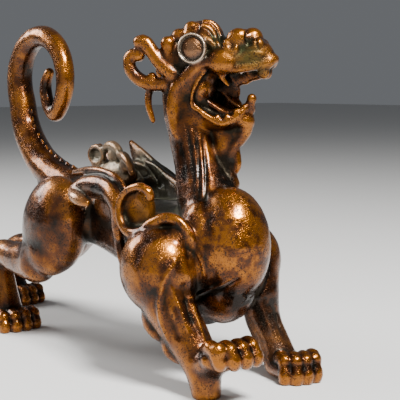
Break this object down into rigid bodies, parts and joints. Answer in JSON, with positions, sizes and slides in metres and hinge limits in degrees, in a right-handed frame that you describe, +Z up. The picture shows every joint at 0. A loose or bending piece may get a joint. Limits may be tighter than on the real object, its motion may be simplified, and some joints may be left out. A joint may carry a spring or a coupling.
{
  "type": "pixiu figurine",
  "caption": "Small cast bronze winged beast in a striding stance, head turned and mouth open, tail rolled up over the back.",
  "frame": {"origin": "middle of the figure's footprint box, on the surface it stands on", "axes": "+Z up; the beast strides towards -Y with its head turned to its left; its right side is -X"},
  "size_m": [0.0478, 0.1578, 0.0988],
  "materials": {
    "bronze": "cast bronze, dark red-brown wax patina, rubbed orange-brown on the high places, fine black pitting and a trace of green in the hollows"
  },
  "bodies": {
    "root": {"pixiu": "bronze"}
  },
  "joints": []
}
